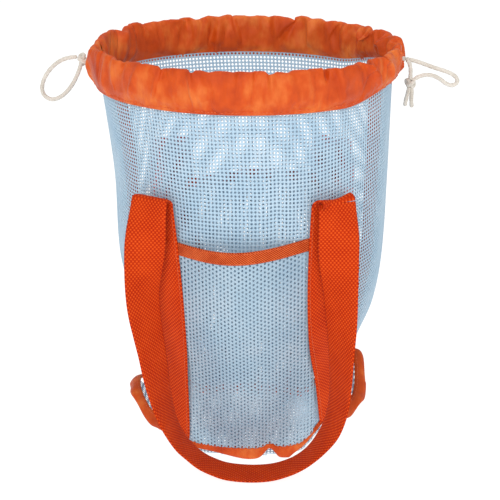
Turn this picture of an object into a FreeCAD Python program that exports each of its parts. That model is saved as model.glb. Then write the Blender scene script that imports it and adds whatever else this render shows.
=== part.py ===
import FreeCAD, Part
import math
import os

# Drawstring mesh bag: an open-topped tube of net with a bound base, a gathered nylon casing round
# the mouth, two drawcords, and on the front and on the back a net pocket between two sewn straps
# whose webbing goes on as a carrying handle. Millimetres, +Z up, the front faces -Y, and the
# origin is at the middle of the base, on the surface that the bag stands on.

Vector = FreeCAD.Vector
FRONT = -1
BACK = 1
LEFT = -1
RIGHT = 1

# Driving dimensions of the bag
BAG_HEIGHT = 405.0
CASING_HEIGHT = 40.0
MESH_THICKNESS = 1.5
CASING_BOTTOM = BAG_HEIGHT - CASING_HEIGHT

# Outside of the net wall: height, half width, half depth, centre in Y
WALL_STATIONS = [
    (0.0, 112.0, 74.0, 9.0),
    (40.0, 111.5, 82.0, 8.0),
    (100.0, 107.0, 95.0, 4.0),
    (150.0, 121.0, 109.0, 1.0),
    (200.0, 130.0, 117.0, 0.0),
    (280.0, 133.0, 121.0, 0.0),
    (CASING_BOTTOM, 139.0, 125.0, 0.0),
]
WALL_LOFT_STEP = 24.0

# Casing: half width and half depth at its fullest, its radial thickness and its fabric
CASING_HALF_WIDTH = 150.0
CASING_HALF_DEPTH = 134.0
CASING_THICKNESS = 12.0
CASING_FABRIC = 1.5
CASING_EDGE_INSET = 3.5
CASING_EDGE_HEIGHT = 7.0
CASING_END_GAP = 10.0

# Base: the net floor and its bound rim, flat in the middle and lifted at both sides
RIM_HALF_WIDTH = 118.0
RIM_HALF_DEPTH = 80.0
RIM_CENTRE_Y = 9.0
RIM_WIDTH = 8.0
RIM_HEIGHT = 13.0
FLAT_HALF_WIDTH = 50.0
SIDE_LIFT = 34.0
BASE_MESH_LEVEL = 3.0

# Side seams: the turned-in net and the tape that binds it
SEAM_ALLOWANCE = 9.0
SEAM_TAPE_WIDTH = 13.0
SEAM_TAPE_THICKNESS = 5.0
SEAM_BOTTOM = 62.0

# Webbing straps and handles
WEBBING_WIDTH = 38.0
WEBBING_THICKNESS = 2.0
STRAP_TOP = 282.0
STRAP_BOTTOM = 12.0
STRAP_TOP_X = 82.0
STRAP_BOTTOM_X = 75.0
STRAP_CLEARANCE = 0.6
STRAP_FOOT_CLEARANCE = 0.3
STRAP_SECTIONS = 13
TACK_LENGTH = 30.0
TACK_HEIGHT = 3.0
TACK_THICKNESS = 1.0
TACK_SINK = 0.2
TACK_LEVELS = [STRAP_TOP - 10.0, STRAP_TOP - 44.0]

# One half of the hanging front handle, from the fold down to the middle of the loop: X, Z, Y, the
# turn of the webbing's outer edge towards the front in degrees, and its lean towards the middle
HANDLE_STATIONS = [
    (84.0, 284.0, -106.0, -28.0, 0.0),
    (87.0, 262.0, -111.5, -12.0, 3.0),
    (89.0, 238.0, -116.0, 8.0, 2.0),
    (90.5, 212.0, -118.5, 24.0, 0.0),
    (90.0, 184.0, -119.0, 36.0, -4.0),
    (88.0, 155.0, -119.0, 46.0, -6.0),
    (85.0, 125.0, -118.0, 56.0, -8.0),
    (80.0, 98.0, -116.0, 66.0, -13.0),
    (73.0, 74.0, -113.0, 76.0, -21.0),
    (63.0, 52.0, -110.0, 84.0, -30.0),
    (51.0, 34.0, -107.5, 88.0, -41.0),
    (37.0, 19.0, -106.0, 90.0, -53.0),
    (20.0, 6.0, -105.2, 90.0, -72.0),
    (0.0, 2.0, -105.0, 90.0, -90.0),
]
BACK_HANDLE_SET_BACK = 12.0

# Pockets
POCKET_HALF_WIDTH = 58.0
POCKET_TOP = 240.0
POCKET_BOTTOM = 15.0
POCKET_TOP_BULGE = 14.0
POCKET_BOTTOM_BULGE = 2.0
POCKET_EDGE_CLEARANCE = 0.8
BINDING_HEIGHT = 12.0
BINDING_THICKNESS = 3.0
POCKET_SECTIONS = 13

# Drawcords
CORD_DIAMETER = 4.0
LEFT_CORD_LEVEL = 381.0
RIGHT_CORD_LEVEL = 391.0
CORD_LIMP_RADIUS = 3.0 * CORD_DIAMETER
CHANNEL_CORD_STEPS = 22
CORD_BEND_SHIFT = 0.2
LEFT_CORD_ENDS = [(-150.1, 2.6, 384.0), (-150.1, -2.6, 384.0)]
RIGHT_CORD_ENDS = [(150.1, 2.4, 389.2), (150.1, -2.6, 390.2)]
LEFT_KNOT_RADIUS = 7.0
LEFT_KNOT_CENTRE = (-157.5, 0.0, 386.0)
RIGHT_KNOT_RADIUS = 6.0
RIGHT_KNOT_CENTRE = (156.0, -2.2, 366.5)

# Free ends of the cords, in the order that the cord runs
LEFT_LOOP_ROUTE = [
    (-162.0, -1.5, 389.0), (-171.5, -2.0, 388.5), (-182.0, -2.5, 383.5), (-191.0, -2.5, 374.5),
    (-197.0, -2.0, 363.0), (-197.5, -1.0, 352.5), (-190.5, 0.0, 346.0), (-181.5, 1.0, 347.5),
    (-173.5, 2.0, 354.0), (-167.5, 2.5, 362.0), (-163.5, 2.5, 370.0), (-160.5, 1.5, 377.0),
    (-158.5, 0.5, 383.0),
]
RIGHT_LOOP_ROUTE = [
    (151.0, 2.4, 389.0), (157.0, 2.4, 388.0), (166.0, 2.0, 385.5), (176.5, 1.5, 381.5),
    (187.0, 1.0, 378.5), (195.5, 0.5, 375.5), (201.0, 0.0, 371.0), (200.5, -0.5, 366.0),
    (195.0, -1.0, 364.0), (189.5, -1.5, 366.5), (184.0, -2.0, 371.0), (177.0, -2.5, 374.5),
    (169.5, -3.0, 375.0), (162.0, -3.0, 372.5), (157.5, -2.6, 368.5),
]
RIGHT_DROP_ROUTE = [
    (151.5, -2.6, 389.8), (154.0, -2.5, 387.3), (155.5, -2.3, 383.5), (156.2, -2.2, 378.5),
    (156.0, -2.2, 372.9),
]
RIGHT_TAIL_ROUTES = [
    [(155.0, -3.5, 363.5), (154.0, -4.5, 357.0), (152.0, -5.0, 350.5), (151.5, -5.0, 344.5)],
    [(157.5, -1.0, 363.5), (158.0, -0.5, 356.5), (157.5, 0.0, 349.0), (158.5, 0.5, 342.0)],
]


def save(name, shape):
    """Write one named piece of the bag and report it."""
    shape.exportStep("parts/" + name + ".step")
    print(f"{name}: solids {len(shape.Solids)}, valid {shape.isValid()}, volume {shape.Volume:.0f}")


def hermite(a, b, slope_a, slope_b, span, t):
    """Cubic between two values with given slopes."""
    t2 = t * t
    t3 = t2 * t
    value = (2 * t3 - 3 * t2 + 1) * a + (3 * t2 - 2 * t3) * b
    return value + (t3 - 2 * t2 + t) * span * slope_a + (t3 - t2) * span * slope_b


def smooth_value(stations, column, z):
    """One column of a table of stations, as a smooth curve of the first column."""
    last = len(stations) - 1
    i = 0
    while i < last - 1 and z > stations[i + 1][0]:
        i += 1

    def slope(k):
        low = max(k - 1, 0)
        high = min(k + 1, last)
        return (stations[high][column] - stations[low][column]) / (stations[high][0] - stations[low][0])

    span = stations[i + 1][0] - stations[i][0]
    t = (z - stations[i][0]) / span
    return hermite(stations[i][column], stations[i + 1][column], slope(i), slope(i + 1), span, t)


def wall_size(z):
    """Half width, half depth and centre of the wall's outside at a height."""
    return [smooth_value(WALL_STATIONS, column, z) for column in (1, 2, 3)]


def wall_y(x, z, side):
    """Y of the wall's outside at a place across the bag, on its front or its back."""
    half_width, half_depth, centre_y = wall_size(z)
    return centre_y + side * half_depth * math.sqrt(1.0 - (x / half_width) ** 2)


def wall_turn(x, z, side):
    """Angle by which the wall has turned away from facing straight out, in degrees."""
    step = 0.5
    rise = wall_y(x + step, z, side) - wall_y(x - step, z, side)
    return math.degrees(math.atan2(abs(rise), 2.0 * step))


def oval_wire(half_width, half_depth, centre_y, z):
    """Closed oval, wider in X than in Y."""
    oval = Part.Ellipse(Vector(0, centre_y, z), half_width, half_depth)
    return Part.Wire([oval.toShape()])


def oval_cylinder(half_width, half_depth, centre_y, low, high):
    """Upright oval cylinder."""
    face = Part.Face(oval_wire(half_width, half_depth, centre_y, low))
    return face.extrude(Vector(0, 0, high - low))


def box(low, high):
    """Box between two corners."""
    size = [high[i] - low[i] for i in range(3)]
    return Part.makeBox(size[0], size[1], size[2], Vector(*low))


def side_half(side, gap, low_z, high_z):
    """Space on the front or back side of the bag, less half a gap at the middle."""
    reach = 400.0
    if side == FRONT:
        return box((-reach, -reach, low_z), (reach, -gap / 2.0, high_z))
    return box((-reach, gap / 2.0, low_z), (reach, reach, high_z))


# ---- Base ----

def lifted_profile(offset, depth):
    """Face across the bag, flat in the middle and curving up at both sides, of one depth down."""
    reach = RIM_HALF_WIDTH + 6.0
    run = RIM_HALF_WIDTH - FLAT_HALF_WIDTH
    radius = (run * run + SIDE_LIFT * SIDE_LIFT) / (2.0 * SIDE_LIFT)

    def rise(x):
        along = abs(x) - FLAT_HALF_WIDTH
        return offset + radius - math.sqrt(radius * radius - along * along)

    middle_x = (FLAT_HALF_WIDTH + reach) / 2.0
    y = -200.0
    ends = {side: Vector(side * reach, y, rise(reach)) for side in (LEFT, RIGHT)}
    flats = {side: Vector(side * FLAT_HALF_WIDTH, y, offset) for side in (LEFT, RIGHT)}
    middles = {side: Vector(side * middle_x, y, rise(middle_x)) for side in (LEFT, RIGHT)}
    floor_z = offset - depth
    corners = [Vector(side * reach, y, floor_z) for side in (RIGHT, LEFT)]
    edges = [
        Part.Arc(ends[LEFT], middles[LEFT], flats[LEFT]).toShape(),
        Part.LineSegment(flats[LEFT], flats[RIGHT]).toShape(),
        Part.Arc(flats[RIGHT], middles[RIGHT], ends[RIGHT]).toShape(),
        Part.LineSegment(ends[RIGHT], corners[0]).toShape(),
        Part.LineSegment(corners[0], corners[1]).toShape(),
        Part.LineSegment(corners[1], ends[LEFT]).toShape(),
    ]
    return Part.Face(Part.Wire(edges))


def space_under(offset):
    """Everything below the lifted base surface, moved up by an offset."""
    return lifted_profile(offset, offset + 60.0).extrude(Vector(0, 400, 0))


def lifted_slab(bottom, top):
    """Slab that follows the lifted base surface between two offsets."""
    return space_under(top).cut(space_under(bottom))


def make_base_binding():
    outer = oval_cylinder(RIM_HALF_WIDTH, RIM_HALF_DEPTH, RIM_CENTRE_Y, -10, 100)
    inner = oval_cylinder(RIM_HALF_WIDTH - RIM_WIDTH, RIM_HALF_DEPTH - RIM_WIDTH, RIM_CENTRE_Y, -10, 100)
    return lifted_slab(0.0, RIM_HEIGHT).common(outer.cut(inner))


def make_base_mesh():
    inner = oval_cylinder(RIM_HALF_WIDTH - RIM_WIDTH, RIM_HALF_DEPTH - RIM_WIDTH, RIM_CENTRE_Y, -10, 100)
    return lifted_slab(BASE_MESH_LEVEL, BASE_MESH_LEVEL + MESH_THICKNESS).common(inner)


# ---- Net walls ----

def wall_loft(inset):
    """Solid inside the wall's outside, shrunk by an inset."""
    count = int(CASING_BOTTOM // WALL_LOFT_STEP) + 1
    wires = []
    for i in range(count + 1):
        z = CASING_BOTTOM * i / count
        half_width, half_depth, centre_y = wall_size(z)
        wires.append(oval_wire(half_width - inset, half_depth - inset, centre_y, z))
    return Part.makeLoft(wires, True, False)


def seam_strip(start, width, low_y, high_y):
    """Upright strip inside both sides of the wall, a distance in from it."""
    steps = 12
    strips = []
    for side in (LEFT, RIGHT):
        outer = []
        inner = []
        for i in range(steps + 1):
            z = SEAM_BOTTOM + (CASING_BOTTOM - SEAM_BOTTOM) * i / steps
            x = wall_size(z)[0] - start
            outer.append(Vector(side * x, low_y, z))
            inner.append(Vector(side * (x - width), low_y, z))
        face = Part.Face(Part.makePolygon(outer + inner[::-1] + outer[:1]))
        strips.append(face.extrude(Vector(0, high_y - low_y, 0)))
    return strips


def make_wall_panel(side, outer_wall, inner_wall):
    panel = outer_wall.cut(inner_wall).cut(space_under(RIM_HEIGHT))
    panel = panel.common(side_half(side, 0.0, -10.0, CASING_BOTTOM))
    low_y = min(0.0, side * MESH_THICKNESS)
    turned_in = SEAM_ALLOWANCE - MESH_THICKNESS
    for strip in seam_strip(MESH_THICKNESS / 2.0, turned_in, low_y, low_y + MESH_THICKNESS):
        panel = panel.fuse(strip)
    return panel.removeSplitter()


def make_seam_tape(which):
    start = MESH_THICKNESS / 2.0 + SEAM_ALLOWANCE - MESH_THICKNESS
    half = SEAM_TAPE_THICKNESS / 2.0
    return seam_strip(start, SEAM_TAPE_WIDTH, -half, half)[which]


# ---- Casing ----

def casing_loft(outer, fabric):
    """Solid bounded by the casing's outer or inner surface, shrunk into it by a fabric."""
    sign = -1.0 if outer else 1.0
    inset = 0.0 if outer else CASING_THICKNESS
    levels = [
        (CASING_BOTTOM + fabric, CASING_EDGE_INSET),
        (CASING_BOTTOM + CASING_EDGE_HEIGHT, 0.0),
        (BAG_HEIGHT - CASING_EDGE_HEIGHT, 0.0),
        (BAG_HEIGHT - fabric, CASING_EDGE_INSET),
    ]
    wires = []
    for z, edge in levels:
        change = -inset + sign * (edge + fabric)
        wires.append(oval_wire(CASING_HALF_WIDTH + change, CASING_HALF_DEPTH + change, 0.0, z))
    return Part.makeLoft(wires, True, True)


def make_casing(side):
    tube = casing_loft(True, 0.0).cut(casing_loft(False, 0.0))
    channel = casing_loft(True, CASING_FABRIC).cut(casing_loft(False, CASING_FABRIC))
    return tube.cut(channel).common(side_half(side, CASING_END_GAP, CASING_BOTTOM, BAG_HEIGHT))


# ---- Straps and handles ----

def rectangle(centre, along_width, along_thickness, width, thickness):
    """Closed rectangle given by its centre and two unit directions."""
    corners = []
    for u, v in ((-0.5, -0.5), (0.5, -0.5), (0.5, 0.5), (-0.5, 0.5)):
        corners.append(centre + along_width * (u * width) + along_thickness * (v * thickness))
    return Part.makePolygon(corners + corners[:1])


def strap_x(z):
    """Distance of a sewn strap's middle from the bag's middle."""
    t = (z - STRAP_BOTTOM) / (STRAP_TOP - STRAP_BOTTOM)
    return STRAP_BOTTOM_X + (STRAP_TOP_X - STRAP_BOTTOM_X) * t


def strap_section(side, hand, z, lift, width, thickness):
    """Rectangle across a sewn strap, its inner face a lift away from the wall."""
    x = strap_x(z)
    turn = math.radians(wall_turn(x, z, side))
    outwards = Vector(hand * math.sin(turn), side * math.cos(turn), 0)
    across = Vector(hand * math.cos(turn), -side * math.sin(turn), 0)
    foot = Vector(hand * x, wall_y(x, z, side), z)
    return rectangle(foot + outwards * (lift + thickness / 2.0), across, outwards, width, thickness)


def make_strap(side, hand):
    wires = []
    for i in range(STRAP_SECTIONS):
        z = STRAP_BOTTOM + (STRAP_TOP - STRAP_BOTTOM) * i / (STRAP_SECTIONS - 1)
        wires.append(strap_section(side, hand, z, STRAP_CLEARANCE, WEBBING_WIDTH, WEBBING_THICKNESS))
    strap = Part.makeLoft(wires, True, True)
    return strap.cut(space_under(RIM_HEIGHT + STRAP_FOOT_CLEARANCE))


def make_tacks(straps):
    """Rows of dense stitches that hold the straps at the foot of each handle."""
    tacks = []
    lift = STRAP_CLEARANCE + WEBBING_THICKNESS - TACK_SINK
    for side in (FRONT, BACK):
        for hand in (LEFT, RIGHT):
            for level in TACK_LEVELS:
                wires = []
                for z in (level, level + TACK_HEIGHT):
                    wires.append(strap_section(side, hand, z, lift, TACK_LENGTH, TACK_THICKNESS))
                tacks.append(Part.makeLoft(wires, True, True).cut(straps[side, hand]))
    return Part.makeCompound(tacks)


def handle_section(side, hand, station):
    """Rectangle across the handle's webbing at one station."""
    x, z, y, turn, lean = station
    turn = math.radians(turn)
    lean = math.radians(lean)
    along = Vector(hand * math.sin(lean), 0, -math.cos(lean))
    outer_edge = Vector(hand * math.cos(turn), side * math.sin(turn), 0)
    outer_edge = outer_edge - along * outer_edge.dot(along)
    outer_edge.normalize()
    face = along.cross(outer_edge)
    if side == FRONT:
        place = Vector(hand * x, y, z)
    else:
        set_back = BACK_HANDLE_SET_BACK * (1.0 - z / HANDLE_STATIONS[0][1]) ** 2
        place = Vector(hand * x, -y + set_back, z)
    return rectangle(place, outer_edge, face, WEBBING_WIDTH, WEBBING_THICKNESS)


def section_corners(wire):
    return [vertex.Point for vertex in wire.OrderedVertexes]


def match_corners(corners, previous):
    """Order a section's corners so that each is next to the last section's."""
    options = []
    for order in (corners, corners[::-1]):
        for shift in range(4):
            options.append(order[shift:] + order[:shift])
    return min(options, key=lambda option: sum((a - b).Length for a, b in zip(option, previous)))


def make_handle(side):
    """Whole loop of webbing from one fold down, round and up to the other."""
    wires = [handle_section(side, LEFT, station) for station in HANDLE_STATIONS]
    wires += [handle_section(side, RIGHT, station) for station in HANDLE_STATIONS[-2::-1]]
    corners = section_corners(wires[0])
    matched = [Part.makePolygon(corners + corners[:1])]
    for wire in wires[1:]:
        corners = match_corners(section_corners(wire), corners)
        matched.append(Part.makePolygon(corners + corners[:1]))
    return Part.makeLoft(matched, True, True)


# ---- Pockets ----

def pocket_section(side, z, thickness, lift):
    """Curved bar across the bag between the straps, bowed out from the wall."""
    half = POCKET_HALF_WIDTH
    share = (z - POCKET_BOTTOM) / (POCKET_TOP - POCKET_BOTTOM)
    bulge = POCKET_BOTTOM_BULGE + (POCKET_TOP_BULGE - POCKET_BOTTOM_BULGE) * share
    edge_y = wall_y(half, z, side) + side * (POCKET_EDGE_CLEARANCE + lift)
    middle_y = wall_y(0.0, z, side) + side * (bulge + lift)
    inner = [Vector(-half, edge_y, z), Vector(0, middle_y, z), Vector(half, edge_y, z)]
    outer = [point + Vector(0, side * thickness, 0) for point in inner]
    edges = [
        Part.Arc(inner[0], inner[1], inner[2]).toShape(),
        Part.LineSegment(inner[2], outer[2]).toShape(),
        Part.Arc(outer[2], outer[1], outer[0]).toShape(),
        Part.LineSegment(outer[0], inner[0]).toShape(),
    ]
    return Part.Wire(edges)


def pocket_loft(side, low, high, thickness, lift, sections):
    wires = []
    for i in range(sections):
        z = low + (high - low) * i / (sections - 1)
        wires.append(pocket_section(side, z, thickness, lift))
    return Part.makeLoft(wires, True, True)


def make_pocket_mesh(side):
    top = POCKET_TOP - BINDING_HEIGHT
    return pocket_loft(side, POCKET_BOTTOM, top, MESH_THICKNESS, 0.0, POCKET_SECTIONS)


def make_pocket_binding(side):
    lift = (MESH_THICKNESS - BINDING_THICKNESS) / 2.0 + POCKET_EDGE_CLEARANCE / 2.0
    return pocket_loft(side, POCKET_TOP - BINDING_HEIGHT, POCKET_TOP, BINDING_THICKNESS, lift, 2)


# ---- Cords ----

def cord_tube(points, name):
    """Round cord along straight runs that are joined by arcs as large as the runs allow."""
    points = [Vector(*point) for point in points]
    edges = []
    start = points[0]
    radii = []
    for i in range(1, len(points) - 1):
        back = points[i - 1] - points[i]
        ahead = points[i + 1] - points[i]
        reach = 0.45 * min(back.Length, ahead.Length)
        back.normalize()
        ahead.normalize()
        half_turn = (math.pi - back.getAngle(ahead)) / 2.0
        radius = reach / math.tan(half_turn)
        radii.append(radius)
        enter = points[i] + back * reach
        leave = points[i] + ahead * reach
        bisector = (back + ahead).normalize()
        centre_distance = math.hypot(reach, radius)
        top = points[i] + bisector * (centre_distance - radius)
        edges.append(Part.LineSegment(start, enter).toShape())
        edges.append(Part.Arc(enter, top, leave).toShape())
        start = leave
    edges.append(Part.LineSegment(start, points[-1]).toShape())
    path = Part.Wire(edges)
    circle = Part.Circle(points[0], points[1] - points[0], CORD_DIAMETER / 2.0)
    tube = path.makePipeShell([Part.Wire([circle.toShape()])], True, False, 2)
    expected = math.pi * CORD_DIAMETER ** 2 / 4.0 * path.Length
    print(f"{name}: length {path.Length:.1f}, smallest radius {min(radii):.1f}, "
          f"under three diameters {sum(r < CORD_LIMP_RADIUS for r in radii)} of {len(radii)}, "
          f"volume is {tube.Volume / expected:.3f} of section times length")
    return tube


def channel_point(angle, z):
    """Place on the middle of the casing's channel, the angle measured from the right side."""
    half_width = CASING_HALF_WIDTH - CASING_THICKNESS / 2.0
    half_depth = CASING_HALF_DEPTH - CASING_THICKNESS / 2.0
    return (half_width * math.cos(angle), half_depth * math.sin(angle), z)


def channel_route(start_hand, z):
    """Route through one casing, across the far gap and back through the other casing."""
    start = 0.0 if start_hand == RIGHT else math.pi
    near = [math.radians(degrees) for degrees in (5.5, 12.5, 24.0)]
    turns = list(near)
    span = 2.0 * math.pi - 2.0 * near[-1]
    for i in range(1, CHANNEL_CORD_STEPS):
        turns.append(near[-1] + span * i / CHANNEL_CORD_STEPS)
    turns += [2.0 * math.pi - turn for turn in near[::-1]]
    return [channel_point(start - turn, z) for turn in turns]


def make_drawcord(hand, z, ends):
    """Cord held in both casings, whose two ends leave side by side at one side of the bag."""
    bend_x = hand * (CASING_HALF_WIDTH - CASING_THICKNESS / 2.0 + CORD_BEND_SHIFT)
    route = channel_route(hand, z)
    if route[0][1] < 0:
        route = route[::-1]
    back_end, front_end = ends
    entry = [back_end, (bend_x, back_end[1], (back_end[2] + z) / 2.0)]
    leave = [(bend_x, front_end[1], (front_end[2] + z) / 2.0), front_end]
    return cord_tube(entry + route + leave, "drawcord")


def main():
    os.makedirs("parts", exist_ok=True)
    outer_wall = wall_loft(0.0)
    inner_wall = wall_loft(MESH_THICKNESS)
    save("front_mesh_panel", make_wall_panel(FRONT, outer_wall, inner_wall))
    save("back_mesh_panel", make_wall_panel(BACK, outer_wall, inner_wall))
    save("base_mesh_panel", make_base_mesh())
    save("base_rim_binding", make_base_binding())
    save("left_seam_tape", make_seam_tape(0))
    save("right_seam_tape", make_seam_tape(1))
    straps = {}
    for side, word in ((FRONT, "front"), (BACK, "back")):
        save(word + "_casing", make_casing(side))
        save(word + "_pocket_mesh", make_pocket_mesh(side))
        save(word + "_pocket_binding", make_pocket_binding(side))
        for hand, hand_word in ((LEFT, "left"), (RIGHT, "right")):
            straps[side, hand] = make_strap(side, hand)
            save(word + "_" + hand_word + "_strap", straps[side, hand])
        save(word + "_handle", make_handle(side))
    save("strap_bar_tacks", make_tacks(straps))
    save("left_drawcord", make_drawcord(LEFT, LEFT_CORD_LEVEL, LEFT_CORD_ENDS))
    save("right_drawcord", make_drawcord(RIGHT, RIGHT_CORD_LEVEL, RIGHT_CORD_ENDS))
    save("right_cord_drop", cord_tube(RIGHT_DROP_ROUTE, "right_cord_drop"))
    save("left_cord_knot", Part.makeSphere(LEFT_KNOT_RADIUS, Vector(*LEFT_KNOT_CENTRE)))
    save("right_cord_knot", Part.makeSphere(RIGHT_KNOT_RADIUS, Vector(*RIGHT_KNOT_CENTRE)))
    save("left_cord_loop", cord_tube(LEFT_LOOP_ROUTE, "left_cord_loop"))
    save("right_cord_loop", cord_tube(RIGHT_LOOP_ROUTE, "right_cord_loop"))
    tails = [cord_tube(route, "right_cord_tail") for route in RIGHT_TAIL_ROUTES]
    save("right_cord_tails", Part.makeCompound(tails))


main()
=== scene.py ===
import bpy
import math
import numpy as np
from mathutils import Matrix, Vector


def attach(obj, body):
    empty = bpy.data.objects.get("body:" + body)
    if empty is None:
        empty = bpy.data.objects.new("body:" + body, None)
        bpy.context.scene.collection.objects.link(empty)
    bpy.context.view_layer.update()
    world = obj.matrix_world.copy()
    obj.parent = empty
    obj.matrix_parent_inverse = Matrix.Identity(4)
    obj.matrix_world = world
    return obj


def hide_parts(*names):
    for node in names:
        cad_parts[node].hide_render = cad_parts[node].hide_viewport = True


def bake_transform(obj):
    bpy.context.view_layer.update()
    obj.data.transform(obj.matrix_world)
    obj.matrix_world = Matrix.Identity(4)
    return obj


# Looks of the mesh ball bag: open net walls, gathered nylon casings, webbing straps and handles,
# net pockets with bound tops, a bound base and two cotton drawcords. Metres, in the frame's axes.

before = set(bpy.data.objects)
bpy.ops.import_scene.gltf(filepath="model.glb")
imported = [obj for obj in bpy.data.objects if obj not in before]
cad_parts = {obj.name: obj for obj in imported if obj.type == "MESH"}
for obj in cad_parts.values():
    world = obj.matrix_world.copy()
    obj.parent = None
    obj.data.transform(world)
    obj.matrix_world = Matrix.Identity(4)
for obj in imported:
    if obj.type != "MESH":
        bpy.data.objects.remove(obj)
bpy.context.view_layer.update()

FRONT = -1
BACK = 1
LEFT = -1
RIGHT = 1
SIDE_WORD = {FRONT: "front", BACK: "back"}
HAND_WORD = {LEFT: "left", RIGHT: "right"}

# Net wall: height, half width, half depth, centre in Y, and the centre in X of a bag that leans a little
WALL_STATIONS = [
    (0.000, 0.1120, 0.074, 0.009, 0.000),
    (0.040, 0.1115, 0.082, 0.008, 0.001),
    (0.100, 0.1070, 0.095, 0.004, 0.002),
    (0.150, 0.1210, 0.109, 0.001, 0.005),
    (0.200, 0.1300, 0.117, 0.000, 0.004),
    (0.280, 0.1330, 0.121, 0.000, 0.004),
    (0.365, 0.1390, 0.125, 0.000, 0.000),
]
NET_COLUMN = 0.0034
NET_HALF_THICKNESS = 0.00055
NET_HOLE = 0.32
NET_SKIN = 0.00075
NET_SHARP_ANGLE = math.radians(100)
WALL_COLUMNS = 116
TURNED_IN_COLUMNS = 3
TURNED_IN = 0.009
WALL_ROWS = 95
WALL_SPLIT = 37
NET_TUCK = 0.0035
NET_SLACK = 0.0013
NET_SLACK_SIZE = 0.040
FOOT_PINCH = 0.005
SEAM_GAP = 0.0009

# Base
RIM_HALF_WIDTH = 0.118
RIM_HALF_DEPTH = 0.080
RIM_CENTRE_Y = 0.009
RIM_HEIGHT = 0.013
# Lobes of the rim's front with a kink between them: middle and half width
FRONT_LOBES = [(0.004, 0.030), (0.041, 0.009)]
FRONT_KINK = (0.0255, 0.0065)
# Rises of the base to each side: height, and how far out it starts and ends
FRONT_RISE = {LEFT: (0.020, 0.045, 0.090), RIGHT: (0.030, 0.052, 0.088)}
END_RISE = {LEFT: (0.022, 0.092, 0.120), RIGHT: (0.008, 0.105, 0.118)}
BACK_CURL = 0.036
BASE_NET_LEVEL = 0.0038
RIM_FABRIC = 0.0016

# Casing
CASING_HALF_WIDTH = 0.150
CASING_HALF_DEPTH = 0.134
CASING_THICKNESS = 0.012
CASING_BOTTOM = 0.365
CASING_TOP = 0.405
CASING_COLUMNS = 300
CASING_RING = 30
CASING_SEAM_RISE = 0.012
CASING_FABRIC = 0.0006
CASING_TRAVEL = 0.009
CASING_SLIMMING = 0.8
CORD_ROOM = 0.0031
CASING_HALF_GAP = 0.005
CASING_FRAMES = 26
CASING_DRIFT_COLUMNS = 40
CASING_FOLDS = 50
CASING_FOLD_SEED = 23
CASING_FOLD_DEPTH = (0.0022, 0.0046)
SEAM_STITCH_RING = 2
CASING_CLOTH = {
    "quality": 5, "mass": 0.1, "tension_stiffness": 15.0, "compression_stiffness": 15.0,
    "shear_stiffness": 5.0, "bending_stiffness": 0.05, "air_damping": 2.0, "use_pressure": True,
    "uniform_pressure_force": 0.35, "shrink_min": -0.08, "shrink_max": -0.24,
}

# Seam tape
SEAM_TAPE_WIDTH = 0.013
SEAM_TAPE_THICKNESS = 0.0042
SEAM_BOTTOM = 0.062
TAPE_STEP = 0.0009

# Webbing
WEBBING_WIDTH = 0.038
WEBBING_THICKNESS = 0.002
RIB = 0.0020
RIB_RELIEF = 0.00016
BRICK = 0.0036
ROWS_PER_RIB = 4
STRAP_TOP = 0.274
STRAP_TOP_X = 0.082
STRAP_FOOT_X = 0.075
STRAP_SHIFT = {LEFT: (0.0055, 0.0105, 0.0050), RIGHT: (0.0120, -0.0018, -0.0035)}
STRAP_CLEARANCE = 0.0016
FOLD_REACH = 0.014
FOLD_FOOT = 0.279
HINGE_Z = 0.284

# The hanging front handle from its left fold to its right one: X, Z, Y and the turn of its outer edge
HANDLE_STATIONS = [
    (-0.0840, 0.284, -0.1060, -28.0),
    (-0.0862, 0.266, -0.1104, -22.0),
    (-0.0878, 0.248, -0.1141, -6.0),
    (-0.0893, 0.225, -0.1173, 18.0),
    (-0.0912, 0.196, -0.1188, 38.0),
    (-0.0902, 0.176, -0.1190, 44.0),
    (-0.0874, 0.156, -0.1190, 50.0),
    (-0.0841, 0.136, -0.1184, 54.0),
    (-0.0811, 0.115, -0.1173, 57.0),
    (-0.0780, 0.094, -0.1155, 63.0),
    (-0.0735, 0.073, -0.1130, 70.0),
    (-0.0680, 0.054, -0.1103, 77.0),
    (-0.0600, 0.037, -0.1078, 82.0),
    (-0.0510, 0.0255, -0.1065, 86.0),
    (-0.0410, 0.016, -0.1058, 88.0),
    (-0.0290, 0.009, -0.1052, 90.0),
    (-0.0140, 0.0038, -0.1050, 90.0),
    (0.0080, 0.0020, -0.1050, 90.0),
    (0.0280, 0.0038, -0.1050, 90.0),
    (0.0440, 0.009, -0.1052, 89.0),
    (0.0560, 0.016, -0.1058, 86.0),
    (0.0660, 0.025, -0.1068, 82.0),
    (0.0750, 0.0365, -0.1080, 76.0),
    (0.0840, 0.052, -0.1101, 69.0),
    (0.0890, 0.067, -0.1121, 65.0),
    (0.0922, 0.086, -0.1145, 61.0),
    (0.0932, 0.108, -0.1167, 57.0),
    (0.0930, 0.139, -0.1185, 50.0),
    (0.0927, 0.169, -0.1190, 40.0),
    (0.0912, 0.199, -0.1187, 30.0),
    (0.0893, 0.227, -0.1170, 12.0),
    (0.0890, 0.250, -0.1137, -10.0),
    (0.0880, 0.268, -0.1099, -24.0),
    (0.0865, 0.284, -0.1060, -28.0),
]
HANDLE_MIDDLE_X = 0.008
BACK_HANDLE_SET_BACK = 0.012

# Pockets
POCKET_HALF_WIDTH = 0.068
POCKET_BOTTOM = 0.013
POCKET_TOP = 0.239
POCKET_TOP_BULGE = 0.014
POCKET_BOTTOM_BULGE = 0.002
POCKET_EDGE_LIFT = 0.0004
POCKET_TOP_SLANT = 0.0035
POCKET_TOP_SAG = 0.003
POCKET_SLACK = 0.0016
POCKET_COLUMN = 0.0034
POCKET_ROW = 0.0044
POCKET_HOLE = 0.29
# Painted shade: the pocket net's yarn colour is scaled down by this factor
POCKET_PAINTED_SHADE = 0.93
BINDING_HEIGHT = 0.0125
BINDING_THICKNESS = 0.0026

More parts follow.
